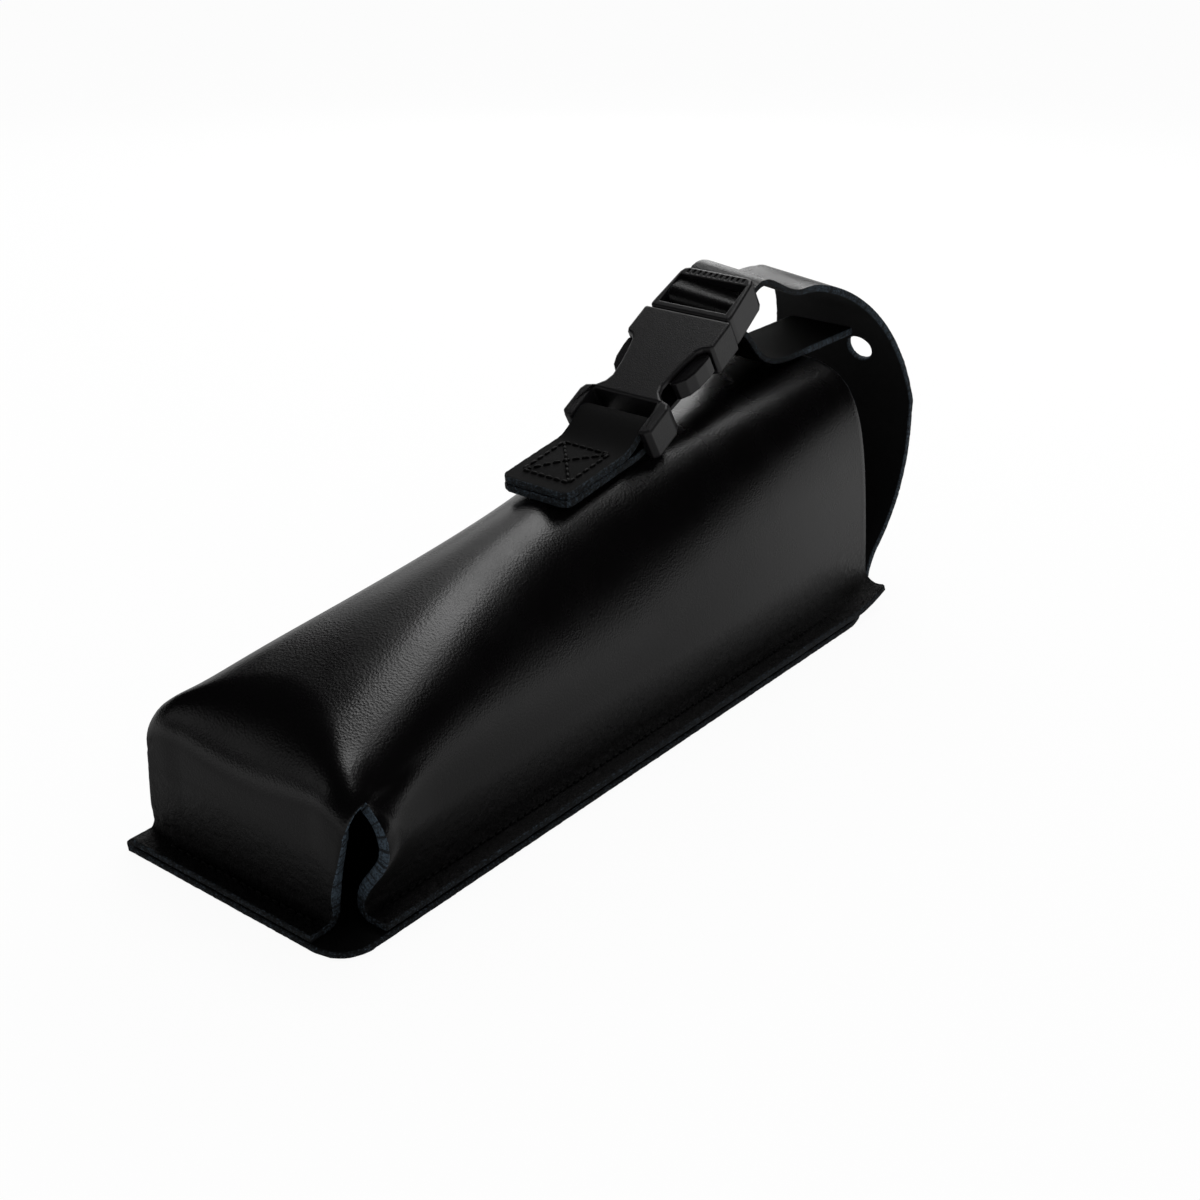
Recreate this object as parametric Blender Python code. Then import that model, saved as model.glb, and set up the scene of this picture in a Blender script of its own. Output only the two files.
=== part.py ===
"""Leather motorcycle pouch with a curled flap, a strap and a side-release buckle.

The bag lies on its back: X runs across it, Y from the closed end to the mouth, Z up.
Heights are from the surface it lies on.  Every size is written in millimetres at the top,
with Y counted from the closed end, and turned to metres when a mesh is made.
"""
import math

import bmesh
import bpy
import numpy as np
from mathutils import Matrix

MM = 0.001
GAP = 0.3                      # clearance between pieces that touch on the real bag

# ---- leather -------------------------------------------------------------------------
LEATHER = 2.4                  # thickness of every leather piece
BASE_HALF = 43.0               # half the width of the back panel
BASE_CORNER = 10.0             # rounding of its right corner at the closed end
BASE_LEFT_CORNER = 2.0         # and of the left one, which was trimmed square
SHOULDER_Y = 241.0             # where its sides start to draw in towards the flap

# ---- front panel -----------------------------------------------------------------------
WALL_HALF = 34.2               # half the width between the middles of the side walls, at their foot
END_WIDEN = 8.6                # the box is wider by this each side at the closed end
END_WIDEN_RUN = 32.5           # a widening that dies out over this length
LEAN_HEIGHT = 19.0             # height over which the walls lean out to that width
FLANGE_FILLET = 3.6            # bend from the flange into the wall
MOUTH_FILLET = 3.2             # how much wider that bend gets towards the mouth
MOUTH_FILLET_RUN = 70.0        # over this length
END_FLANGE_RIGHT = 31.5        # half width of the flange at the closed end, right
END_FLANGE_LEFT = 39.0         # and left
SLIT_Y = 15.0                  # where the side wall starts, behind the open corner slit
SLIT_TOP = 38.0                # height of the slit's closed upper end
SLIT_BULGE = 3.6               # how far the side wall's cut edge bows outwards
SLIT_BULGE_RUN = 15.0          # length over which that bow dies out
END_WALL_Y = 9.0               # the end wall stands here
END_TOP_ROUND = 11.0           # rounding of its upper edge
TOP_Y = 8.0                    # the top line starts here,
TOP_HEIGHT = 49.0              # at this height of the outer surface,
TOP_RISE = 0.2628              # rises at this slope
TOP_SAG = 0.000391             # and flattens off by this much per millimetre
MOUTH_LOW_Y = 265.0            # the mouth's edge at the flange
MOUTH_TOP_Y = 254.0            # and at the top of the arch
SHAPE_Y = (8.0, 60.0, 136.0, 200.0, 255.0)        # at these places the arch
WIDTH_POWER = (2.41, 2.25, 1.94, 2.93, 3.83)      # has these powers for its sides
CROWN_POWER = (4.99, 3.59, 2.24, 3.81, 5.10)      # and for its top: round midway, boxy at both ends

# ---- buckle axis: everything on the buckle is given along it -----------------------------
BAR_Y = 165.0                  # female buckle's end bar, the pivot in its leather loop
BAR_LIFT = 6.2                 # its height above the front panel
BUCKLE_TILT = 30.0             # degrees that the buckle rises towards the mouth
BUCKLE_THICK = 11.5
BUCKLE_BEVEL = 0.8

# ---- female buckle -----------------------------------------------------------------------
FEMALE_HALF = 16.6
FEMALE_MOUTH_V = 45.0
FEMALE_EAR_V = 33.0            # the side windows end here, against the latch faces
FEMALE_WAIST = 9.6             # half width of the plates between the windows
FEMALE_WAIST_V = 14.5
FEMALE_LOOP_V = 8.0            # plate's edge at the loop slot
LEG_END_V = -4.8
SOCKET_HALF = 14.6
SOCKET_THICK = 7.8
SOCKET_END_V = 12.0
BAR_RADIUS = 2.1

# ---- male buckle -------------------------------------------------------------------------
FRAME_HALF = 15.3
FRAME_END_HALF = 13.9
PLUG_WALL = 2.5                # wall that closes the female's mouth
STRAP_ROOM = 0.9               # room from that wall to the strap on the middle bar
RIB_ROOM = 2.7                 # room from the strap to the ribbed end bar
RIB_BAR = 3.6                  # width of the ribbed end bar
RIB_BAR_UNDER = 2.4            # underside of the ribbed end bar, above the middle plane
RIB_COUNT = 11
RIB_DEPTH = 0.5
SLOT_HALF = 12.9
TONGUE_HALF = 2.6
TONGUE_THICK = 2.4
TONGUE_END_V = 24.0
PRONG_X = 10.6                 # each prong's flexing root
PRONG_ROOT = 1.3
PRONG_THICK = 7.0
PRONG_TIP_V = 17.5
PRONG_OUT = 15.9

# ---- flap and strap ------------------------------------------------------------------------
HINGE_Z = LEATHER / 2          # the flap's bend line lies in the middle of the leather
LOW_RADIUS = 53.5              # lower half of the curl, to the middle of the leather
RISE = 11.3                    # straight stretch at the far side of the curl
HIGH_RADIUS = 48.3             # upper half of the curl, front to back
CREST_Z = 113.4                # height of the leather's middle at the top of the curl
FLAP_HALF = 30.0
WAIST_END = 39.0               # the shoulders end this far up the flap
TAPER_START = 95.0             # the flap draws in from here to the strap's width
TAPER_END = 180.0
STRAP_HALF = 12.5
HOLE_RADIUS = 5.25
HOLE_X = 10.0
HOLE_S = 112.5                 # where the punched holes lie, along the flap
TAIL_END_Y = 284.0
TAIL_LIFT = 0.6                # the strap's loose end lies this far above the front panel

# ---- buckle tab ----------------------------------------------------------------------------
TAB_SPLIT = 13.0               # its two plies part this far before the end bar
TAB_SEWN = 26.5                # length of the sewn part

# ---- worked out from the sizes above -------------------------------------------------------
AROUND_BAR = BAR_RADIUS + GAP + LEATHER / 2               # middle of leather that wraps a bar
FRAME_FRONT_V = FEMALE_MOUTH_V + GAP
FRAME_WALL_V = FRAME_FRONT_V + PLUG_WALL
MID_BAR_V = FRAME_WALL_V + STRAP_ROOM + AROUND_BAR + LEATHER / 2
RIB_BAR_V = MID_BAR_V + AROUND_BAR + LEATHER / 2 + RIB_ROOM
FRAME_END_V = RIB_BAR_V + RIB_BAR
PRONG_V = FRAME_FRONT_V - GAP - PRONG_ROOT
TILT = math.radians(BUCKLE_TILT)
AXIS = np.array([math.cos(TILT), math.sin(TILT)])         # along the buckle, in (y, z)
NORMAL = np.array([-math.sin(TILT), math.cos(TILT)])      # out of its upper face


def top_line(y):
    """Height of the middle of the front panel's leather along the top."""
    run = np.maximum(y - TOP_Y, 0.0)
    return TOP_HEIGHT + TOP_RISE * run - TOP_SAG * run * run - LEATHER / 2


BAR = np.array([BAR_Y, float(top_line(BAR_Y)) + LEATHER / 2 + BAR_LIFT])
EXIT = BAR + MID_BAR_V * AXIS                             # middle bar, which the strap turns on
# The bend line is as far from the end bar as from the middle bar, so the male buckle
# leaves its socket in a straight line while the female buckle turns at half the rate.
MIDDLE = (BAR + EXIT) / 2
HINGE = MIDDLE - NORMAL * (MIDDLE[1] - HINGE_Z) / NORMAL[1]
TAIL_Z = float(top_line(MOUTH_TOP_Y)) + LEATHER + TAIL_LIFT
LENGTH = HINGE[0] + LOW_RADIUS + LEATHER / 2
ORIGIN_Y = LENGTH / 2


def clear_scene():
    for thing in list(bpy.data.objects):
        bpy.data.objects.remove(thing, do_unlink=True)


def material(name, colour, roughness, coat=0.0):
    made = bpy.data.materials.new(name)
    made.use_nodes = True
    shader = made.node_tree.nodes["Principled BSDF"]
    shader.inputs["Base Color"].default_value = (*colour, 1.0)
    shader.inputs["Roughness"].default_value = roughness
    shader.inputs["Coat Weight"].default_value = coat
    return made


def smoothstep(value):
    value = np.clip(value, 0.0, 1.0)
    return value * value * (3.0 - 2.0 * value)


def arc(centre, radius, start, end, count):
    """Points on an arc, angles in degrees."""
    angles = np.radians(np.linspace(start, end, count))
    return np.stack([centre[0] + radius * np.cos(angles), centre[1] + radius * np.sin(angles)], 1)


def add_object(name, points, faces, finish, pivot=None, turn=0.0, smooth=40.0):
    """A named mesh from points in millimetres (x, y, z); its origin lies on its pivot (y, z)."""
    points = np.asarray(points, float)
    pivot = np.zeros(2) if pivot is None else np.asarray(pivot, float)
    mesh = bpy.data.meshes.new(name)
    mesh.from_pydata((points * MM).tolist(), [], [list(face) for face in faces])
    body = bmesh.new()
    body.from_mesh(mesh)
    bmesh.ops.remove_doubles(body, verts=body.verts, dist=0.00001)
    bmesh.ops.recalc_face_normals(body, faces=body.faces)
    body.to_mesh(mesh)
    body.free()
    mesh.shade_smooth()
    mesh.set_sharp_from_angle(angle=math.radians(smooth))
    mesh.materials.append(finish)
    made = bpy.data.objects.new(name, mesh)
    made.location = (0.0, (pivot[0] - (ORIGIN_Y if pivot.any() else 0.0)) * MM, pivot[1] * MM)
    made.rotation_euler = (turn, 0.0, 0.0)
    bpy.context.scene.collection.objects.link(made)
    return made


def prism(name, outline, low, high, finish, axes="xyz", **placing):
    """A flat outline carried straight from low to high along the axis it leaves out."""
    outline = np.asarray(outline, float)
    count = len(outline)
    missing = "xyz".index(axes[2])
    points = np.zeros((2 * count, 3))
    for column, letter in enumerate(axes[:2]):
        points[:, "xyz".index(letter)] = np.tile(outline[:, column], 2)
    points[:count, missing] = low
    points[count:, missing] = high
    faces = [list(range(count)), list(range(count, 2 * count))]
    faces += [[i, (i + 1) % count, count + (i + 1) % count, count + i] for i in range(count)]
    return add_object(name, points, faces, finish, **placing)


def rod(name, centre, radius, half, finish, count=20, **placing):
    """A round bar along X; centre is (y, z)."""
    ring = arc(centre, radius, 0.0, 360.0, count + 1)[:-1]
    return prism(name, ring, -half, half, finish, axes="yzx", **placing)


def block(name, x, y, z, finish, **placing):
    outline = [(x[0], y[0]), (x[1], y[0]), (x[1], y[1]), (x[0], y[1])]
    return prism(name, outline, z[0], z[1], finish, **placing)


def combine(body, other, operation):
    """Union with, or cut by, another solid, which is only a guide afterwards."""
    step = body.modifiers.new(operation.lower(), "BOOLEAN")
    step.operation = operation
    step.object = other
    step.solver = "EXACT"
    other.hide_render = True
    other.display_type = "WIRE"


def bevel(body, width, angle=50.0, segments=2):
    step = body.modifiers.new("bevel", "BEVEL")
    step.width = width * MM
    step.segments = segments
    step.limit_method = "ANGLE"
    step.angle_limit = math.radians(angle)


def ribbon(name, path, halves, finish, nose=False, **placing):
    """A leather strip along a path of (y, z) points, as wide as halves says at each point.

    A nose rounds the first end about its first point, so that it can turn there.
    """
    path = np.asarray(path, float)
    halves = np.broadcast_to(np.asarray(halves, float), len(path))
    along = np.gradient(path, axis=0)
    along /= np.linalg.norm(along, axis=1)[:, None]
    out = np.stack([-along[:, 1], along[:, 0]], 1) * LEATHER / 2
    rim = np.concatenate([path + out, (path - out)[::-1]])
    widths = np.concatenate([halves, halves[::-1]])
    count = len(path)
    nose_points = 0
    if nose:
        start = math.degrees(math.atan2(-out[0, 1], -out[0, 0]))
        cap = arc(path[0], LEATHER / 2, start, start - 180.0, 9)[1:-1]
        nose_points = len(cap)
        rim = np.concatenate([rim, cap])
        widths = np.concatenate([widths, np.full(nose_points, halves[0])])
    total = len(rim)
    points = np.zeros((2 * total, 3))
    points[:total] = np.column_stack([-widths, rim])
    points[total:] = np.column_stack([widths, rim])
    faces = [[i, (i + 1) % total, total + (i + 1) % total, total + i] for i in range(total)]
    for side in (0, total):
        for i in range(count - 1):
            j = 2 * count - 1 - i
            faces.append([side + i, side + i + 1, side + j - 1, side + j])
        if nose:
            faces.append([side + 2 * count - 1] + [side + 2 * count + k for k in range(nose_points)] + [side])
    return add_object(name, points, faces, finish, **placing)


# ---------------------------------------------------------------------------- back panel
def flap_half(s):
    """Half width of the flap at s along it from the bend line: shoulders, then a long taper."""
    start = SHOULDER_Y - HINGE[0]
    drawn_in = BASE_HALF + (FLAP_HALF - BASE_HALF) * smoothstep((s - start) / (WAIST_END - start))
    taper = np.clip((s - TAPER_START) / (TAPER_END - TAPER_START), 0.0, 1.0)
    return drawn_in + (STRAP_HALF - FLAP_HALF) * taper


def back_panel(finish):
    """The flat back: two corners at the closed end, shoulders that start the flap."""
    end = HINGE[0] - LEATHER / 2 - GAP
    inner, left = BASE_HALF - BASE_CORNER, BASE_HALF - BASE_LEFT_CORNER
    shoulder = [(float(flap_half(y - HINGE[0])), float(y)) for y in np.linspace(SHOULDER_Y, end, 4)]
    outline = list(map(tuple, arc((inner, BASE_CORNER), BASE_CORNER, -90.0, 0.0, 7))) + shoulder
    outline += [(-x, y) for x, y in reversed(shoulder)]
    outline += list(map(tuple, arc((-left, BASE_LEFT_CORNER), BASE_LEFT_CORNER, 180.0, 270.0, 4)))
    outline = [(x, y - ORIGIN_Y) for x, y in outline]
    return prism("back_panel", outline, 0.0, LEATHER, finish)


# ---------------------------------------------------------------------------- front panel
def flange_lift(y):
    """The flange rides up with the start of the curl, past the bend line."""
    run = np.clip(y - HINGE[0], 0.0, None)
    return LOW_RADIUS - np.sqrt(LOW_RADIUS ** 2 - run ** 2)


FLANGE_STEPS, FILLET_STEPS, ARCH_STEPS = 1, 3, 13


def shape(values, y):
    """The smooth curve through the five values at SHAPE_Y."""
    return float(np.polyval(np.polyfit(SHAPE_Y, values, len(SHAPE_Y) - 1), y))


def half_section(y):
    """Middle of the leather across the bag at y, from the flange's edge to the top of the arch.

    A flat flange, a quarter round, then x = a cos(p)^(2/n), z = z0 + (h - z0) sin(p)^(2/m),
    spaced evenly along the curve.  Near the closed end a grows and the walls lean out.
    """
    widen = END_WIDEN * math.exp(-max(y - TOP_Y, 0.0) / END_WIDEN_RUN)
    low = LEATHER * 1.5 + GAP + float(flange_lift(y))
    fillet = FLANGE_FILLET + MOUTH_FILLET * float(
        smoothstep((y - MOUTH_LOW_Y + MOUTH_FILLET_RUN) / MOUTH_FILLET_RUN))
    foot = WALL_HALF + fillet
    flange = np.column_stack([np.linspace(BASE_HALF, foot, FLANGE_STEPS + 1), np.full(FLANGE_STEPS + 1, low)])
    bend = arc((foot, low + fillet), fillet, -90.0, -180.0, FILLET_STEPS + 1)[1:]
    p = np.linspace(0.0, math.pi / 2, 400)
    dense = np.column_stack([
        (WALL_HALF + widen) * np.cos(p) ** (2 / shape(WIDTH_POWER, y)),
        low + fillet + (top_line(y) - low - fillet) * np.sin(p) ** (2 / shape(CROWN_POWER, y))])
    dense[:, 0] -= widen * (1.0 - smoothstep((dense[:, 1] - low - fillet) / LEAN_HEIGHT))
    length = np.concatenate([[0.0], np.cumsum(np.linalg.norm(np.diff(dense, axis=0), axis=1))])
    even = np.linspace(0.0, length[-1], ARCH_STEPS + 1)[1:]
    arch = np.column_stack([np.interp(even, length, dense[:, k]) for k in (0, 1)])
    arch[-1] = (0.0, top_line(y))
    return np.concatenate([flange, bend, arch])


def slit_column():
    """Number of the column that meets the slit's closed upper end."""
    heights = half_section(SLIT_Y)[:, 1]
    return int(np.argmin(np.abs(heights - SLIT_TOP)))


def wall_row(y_flange, y_top):
    """One row across the bag; its sides may lie at another y than its top, as at the mouth."""
    section = half_section((y_flange + y_top) / 2)
    share = smoothstep(np.linspace(0.0, 1.0, len(section)))
    rows = np.array([half_section(y)[i] for i, y in enumerate(y_flange + (y_top - y_flange) * share)])
    y = y_flange + (y_top - y_flange) * share
    column = slit_column()
    up = np.clip((rows[:, 1] - rows[1, 1]) / (rows[column, 1] - rows[1, 1]), 0.0, 1.0)
    bow = SLIT_BULGE * np.exp(-((y - SLIT_Y) / SLIT_BULGE_RUN) ** 2) * np.sin(math.pi * up ** 1.6)
    x = rows[:, 0] + bow
    return np.column_stack([x, y, rows[:, 1]])


def end_column(start, share):
    """One column over the closed end: round the upper edge, down the wall and out to the flange.

    share runs from -1 at the left slit to 1 at the right one.
    """
    x, _, z = start
    low = LEATHER * 1.5 + GAP
    foot_x = (END_FLANGE_RIGHT + END_FLANGE_LEFT) / 2 * share + (END_FLANGE_RIGHT - END_FLANGE_LEFT) / 2 * share ** 2
    round_y = SLIT_Y - END_WALL_Y
    corner = arc((SLIT_Y, z - END_TOP_ROUND), 1.0, 90.0, 180.0, 5)[1:]
    points = [(SLIT_Y + round_y * (q[0] - SLIT_Y), z - END_TOP_ROUND + END_TOP_ROUND * (q[1] - z + END_TOP_ROUND))
              for q in corner]
    wall_low = low + FLANGE_FILLET
    points += [(END_WALL_Y, z - END_TOP_ROUND + (wall_low - z + END_TOP_ROUND) * k / 3) for k in (1, 2, 3)]
    points += list(map(tuple, arc((END_WALL_Y - FLANGE_FILLET, wall_low), FLANGE_FILLET, 0.0, -90.0, 4)[1:]))
    points += [(0.0, low)]
    heights = np.array([p[1] for p in points])
    drop = smoothstep((z - heights) / (z - wall_low))
    return [(x + (foot_x - x) * d, p[0], p[1]) for d, p in zip(drop, points)]


def front_panel(finish):
    """One moulded leather shell: arched top, walls, flanges, and open slits at two corners."""
    stations = np.concatenate([[0.0], np.linspace(0.06, 0.80, 9), [0.87, 0.93, 0.97, 1.0]])
    halves = [wall_row(MOUTH_LOW_Y + (SLIT_Y - MOUTH_LOW_Y) * s, MOUTH_TOP_Y + (SLIT_Y - MOUTH_TOP_Y) * s)
              for s in stations]
    columns = len(halves[0])
    slit = slit_column()
    points, faces, index = [], [], {}

    def put(row, column, point):
        index[row, column] = len(points)
        points.append(point)

    last = 2 * columns - 2
    for row, half in enumerate(halves):
        for column in range(last + 1):
            x, y, z = half[min(column, last - column)]
            put(row, column, (x if column < columns else -x, y - ORIGIN_Y, z))
    for column in range(slit, last - slit + 1):
        start = np.array(halves[-1][min(column, last - column)])
        start[0] *= 1.0 if column < columns else -1.0
        for step, (x, y, z) in enumerate(end_column(start, start[0] / halves[-1][slit][0])):
            put(len(halves) + step, column, (x, y - ORIGIN_Y, z))
    for row, column in list(index):
        corners = [(row, column), (row, column + 1), (row + 1, column + 1), (row + 1, column)]
        if all(corner in index for corner in corners):
            faces.append([index[corner] for corner in corners])
    made = add_object("front_panel", points, faces, finish, smooth=60.0)
    wall = made.modifiers.new("leather", "SOLIDIFY")
    wall.thickness = LEATHER * MM
    wall.offset = 0.0
    wall.use_even_offset = True
    return made


# ---------------------------------------------------------------------------- flap and strap
def bezier(p0, p1, p2, p3, count):
    t = np.linspace(0.0, 1.0, count)[:, None]
    return (1 - t) ** 3 * p0 + 3 * t * (1 - t) ** 2 * p1 + 3 * t * t * (1 - t) * p2 + t ** 3 * p3


def on_buckle(v, n=0.0):
    """The (y, z) of a point v along the buckle and n above its middle plane."""
    return BAR + v * AXIS + n * NORMAL


def flap_path():
    """Middle of the leather from the bend line to the strap's loose end.

    Lower quarter round, rise, upper quarter round, down to the ribbed end bar and under it,
    over and round the middle bar, and back level above the mouth.
    """
    side = HINGE[0] + LOW_RADIUS
    high_z = HINGE_Z + LOW_RADIUS + RISE
    low = arc((HINGE[0], HINGE_Z + LOW_RADIUS), LOW_RADIUS, -90.0, 0.0, 15)
    high = arc((0.0, 0.0), 1.0, 0.0, 90.0, 15) * (HIGH_RADIUS, CREST_Z - high_z) + (side - HIGH_RADIUS, high_z)
    under_n = RIB_BAR_UNDER - GAP - LEATHER / 2
    under = on_buckle(FRAME_END_V + 0.6, under_n)
    reach = (high[-1][0] - under[0]) / 3
    run = bezier(high[-1], high[-1] - (1.3 * reach, 0.0), under + AXIS * reach, under, 8)[1:]
    over = [on_buckle(RIB_BAR_V - 0.4, under_n)]
    over += [on_buckle(MID_BAR_V + x, n) for x, n in arc((0.0, 0.0), AROUND_BAR, 58.0, 215.0, 13)]
    heading = (over[-1] - over[-2]) / np.linalg.norm(over[-1] - over[-2])
    start = over[-1]
    level = np.array([start[0] + 34.0, TAIL_Z])
    down = bezier(start, start + heading * 16.0, level - (22.0, 1.0), level, 14)[1:]
    tail = np.column_stack([np.linspace(level[0], TAIL_END_Y, 5)[1:], np.full(4, TAIL_Z)])
    return np.concatenate([low, high, run, over, down, tail])


def path_length(path):
    return np.concatenate([[0.0], np.cumsum(np.linalg.norm(np.diff(path, axis=0), axis=1))])


def flap(finish):
    """The back panel's leather past its bend line: curl, strap and loose end, with two punched holes."""
    path = flap_path()
    s = path_length(path)
    made = ribbon("flap", path - HINGE, flap_half(s), finish, nose=True, pivot=HINGE)
    at = np.array([np.interp(HOLE_S, s, path[:, k]) for k in (0, 1)]) - HINGE
    ahead = np.array([np.interp(HOLE_S + 1.0, s, path[:, k]) for k in (0, 1)]) - HINGE
    slope = math.atan2(*(ahead - at)[::-1])
    for side in (-1, 1):
        ring = arc((0.0, 0.0), HOLE_RADIUS, 0.0, 360.0, 25)[:-1]
        punch = prism(f"punch_{side}", ring, -3 * LEATHER, 3 * LEATHER, finish)
        turn = Matrix.Rotation(slope, 4, "X")
        place = Matrix.Translation((side * HOLE_X * MM, at[0] * MM, at[1] * MM))
        punch.data.transform(place @ turn)
        punch.location = made.location
        combine(made, punch, "DIFFERENCE")
    return made


# ---------------------------------------------------------------------------- buckle tab
def buckle_tab(finish):
    """A folded strip: lower ply on the panel, round the female buckle's bar, back as upper ply."""
    def bed(y, ply):
        return top_line(y) + LEATHER / 2 + (ply - 0.5) * LEATHER + ply * GAP

    split = BAR_Y - TAB_SPLIT
    lower = [(y, float(bed(y, 1))) for y in np.linspace(split - TAB_SEWN, BAR_Y - 6.0, 6)]
    loop = arc(BAR, AROUND_BAR, -90.0, 115.0, 15)
    upper = [(y, float(bed(y, 2))) for y in np.linspace(split, split - TAB_SEWN, 5)]
    path = np.concatenate([lower, loop, upper])
    path[:, 0] -= ORIGIN_Y
    return ribbon("buckle_tab", path, STRAP_HALF, finish)


# ---------------------------------------------------------------------------- buckle
def mirrored(right):
    return list(right) + [(-x, v) for x, v in reversed(right)]


def female_body(finish):
    """Hourglass housing: socket with open side windows, two legs and the end bar."""
    half = BUCKLE_THICK / 2
    flare = FEMALE_HALF - FEMALE_WAIST
    slot_half = STRAP_HALF + GAP
    right = [(slot_half, FEMALE_LOOP_V), (slot_half, LEG_END_V), (FEMALE_HALF - 1.2, LEG_END_V)]
    right += [(FEMALE_HALF + 0.4, LEG_END_V + 1.6)]
    right += [(FEMALE_HALF + 0.4, FEMALE_LOOP_V - 1.5), (FEMALE_HALF - 0.6, FEMALE_LOOP_V + 0.6)]
    right += [(FEMALE_HALF - 4.0, FEMALE_LOOP_V + 1.6), (FEMALE_WAIST + 0.8, FEMALE_WAIST_V - 2.6)]
    right += [(FEMALE_WAIST, FEMALE_WAIST_V)]
    for t in (0.3, 0.6, 0.85):
        right.append((FEMALE_WAIST + flare * 0.5 * t ** 1.6,
                      FEMALE_WAIST_V + (FEMALE_EAR_V - FEMALE_WAIST_V) * t))
    right += [(FEMALE_HALF - 2.8, FEMALE_EAR_V - 0.9), (FEMALE_HALF - 0.6, FEMALE_EAR_V)]
    right += [(FEMALE_HALF, FEMALE_EAR_V + 1.2), (FEMALE_HALF, FEMALE_MOUTH_V)]
    body = prism("female_body", mirrored(right), -half, half, finish, pivot=BAR, turn=TILT)
    bevel(body, BUCKLE_BEVEL)
    placing = {"pivot": BAR, "turn": TILT}
    window = FEMALE_HALF + 5.0
    inside = [(SOCKET_HALF, FEMALE_MOUTH_V + 5.0), (SOCKET_HALF, FEMALE_EAR_V), (window, FEMALE_EAR_V),
              (window, SOCKET_END_V)]
    socket = prism("socket", mirrored(inside), -SOCKET_THICK / 2, SOCKET_THICK / 2, finish, **placing)
    combine(body, socket, "DIFFERENCE")
    bar = rod("end_bar", (0.0, 0.0), BAR_RADIUS, FEMALE_HALF - 2.0, finish, **placing)
    combine(body, bar, "UNION")
    return body


def male_frame(finish):
    """Strap adjuster: two rails, a middle bar, a ribbed end bar, the plug wall and its tongue."""
    half = BUCKLE_THICK / 2
    front, wall, rib, end = (v - MID_BAR_V for v in (FRAME_FRONT_V, FRAME_WALL_V, RIB_BAR_V, FRAME_END_V))
    right = [(FRAME_HALF - 0.6, front), (FRAME_HALF, front + 1.0), (FRAME_HALF, wall)]
    right += [(FRAME_END_HALF, end - 2.4), (FRAME_END_HALF - 0.9, end - 0.6), (FRAME_END_HALF - 2.6, end)]
    placing = {"pivot": EXIT, "turn": TILT}
    body = prism("male_frame", mirrored(right), -half, half, finish, **placing)
    bevel(body, BUCKLE_BEVEL)
    through = (-BUCKLE_THICK, BUCKLE_THICK)
    slot = block("strap_slot", (-SLOT_HALF, SLOT_HALF), (wall, rib), through, finish, **placing)
    under = block("under_end_bar", (-SLOT_HALF, SLOT_HALF), (rib - 0.5, end + 5.0),
                  (-BUCKLE_THICK, RIB_BAR_UNDER), finish, **placing)
    combine(body, slot, "DIFFERENCE")
    combine(body, under, "DIFFERENCE")
    pitch = 2 * (SLOT_HALF - 1.2) / RIB_COUNT
    for i in range(RIB_COUNT):
        x = (i - (RIB_COUNT - 1) / 2) * pitch
        groove = block(f"groove_{i}", (x - pitch / 4, x + pitch / 4), (rib + 0.8, end - 0.9),
                       (half - RIB_DEPTH, half + 1.0), finish, **placing)
        combine(body, groove, "DIFFERENCE")
    bar = rod("middle_bar", (0.0, 0.0), BAR_RADIUS, SLOT_HALF + 0.8, finish, **placing)
    tongue = block("tongue", (-TONGUE_HALF, TONGUE_HALF), (TONGUE_END_V - MID_BAR_V, front + 1.0),
                   (-TONGUE_THICK / 2, TONGUE_THICK / 2), finish, **placing)
    combine(body, bar, "UNION")
    combine(body, tongue, "UNION")
    return body


def prong(side, finish):
    """A springy arm with its latch shoulder and the button that shows in the window."""
    root = arc((0.0, 0.0), PRONG_ROOT, 0.0, 180.0, 9)
    latch = FEMALE_EAR_V - 0.4 - PRONG_V
    out = PRONG_OUT - PRONG_X
    inner = -PRONG_ROOT
    tip = PRONG_TIP_V - PRONG_V
    outline = [(x, v) for x, v in root]
    outline += [(inner, latch - 2.0), (inner - 0.4, tip + 3.0), (inner, tip + 0.8), (inner + 1.0, tip)]
    outline += [(1.2, tip + 0.6), (3.4, tip + 3.0), (out - 0.6, tip + 6.5), (out, latch - 3.4), (out, latch - 0.8)]
    outline += [(out - 0.5, latch), (PRONG_ROOT - 0.2, latch), (PRONG_ROOT - 0.2, latch + 4.0)]
    outline = [(side * x, v) for x, v in outline]
    name = "prong_right" if side > 0 else "prong_left"
    pivot = BAR + PRONG_V * AXIS
    made = prism(name, outline, -PRONG_THICK / 2, PRONG_THICK / 2, finish, pivot=pivot, turn=TILT)
    made.location.x = side * PRONG_X * MM
    bevel(made, BUCKLE_BEVEL / 2, segments=1)
    return made


def build():
    clear_scene()
    leather = [material(name, (0.012, 0.012, 0.013), 0.42) for name in (
        "back_leather", "front_leather", "flap_leather", "tab_leather")]
    plastic = [material(name, (0.016, 0.016, 0.018), 0.5) for name in (
        "female_plastic", "male_plastic", "left_prong_plastic", "right_prong_plastic")]
    back_panel(leather[0])
    front_panel(leather[1])
    flap(leather[2])
    buckle_tab(leather[3])
    female_body(plastic[0])
    male_frame(plastic[1])
    prong(-1, plastic[2])
    prong(1, plastic[3])


build()
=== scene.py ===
"""Leather motorcycle pouch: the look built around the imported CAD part.

Sizes are in millimetres in the bag's own frame, X across, Y from the closed end, Z up, and
`metres` moves them to the row frame.  Every leather piece is a mid-surface from a formula,
given its thickness and a raw cut edge by `leather`.
"""
import math

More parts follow.
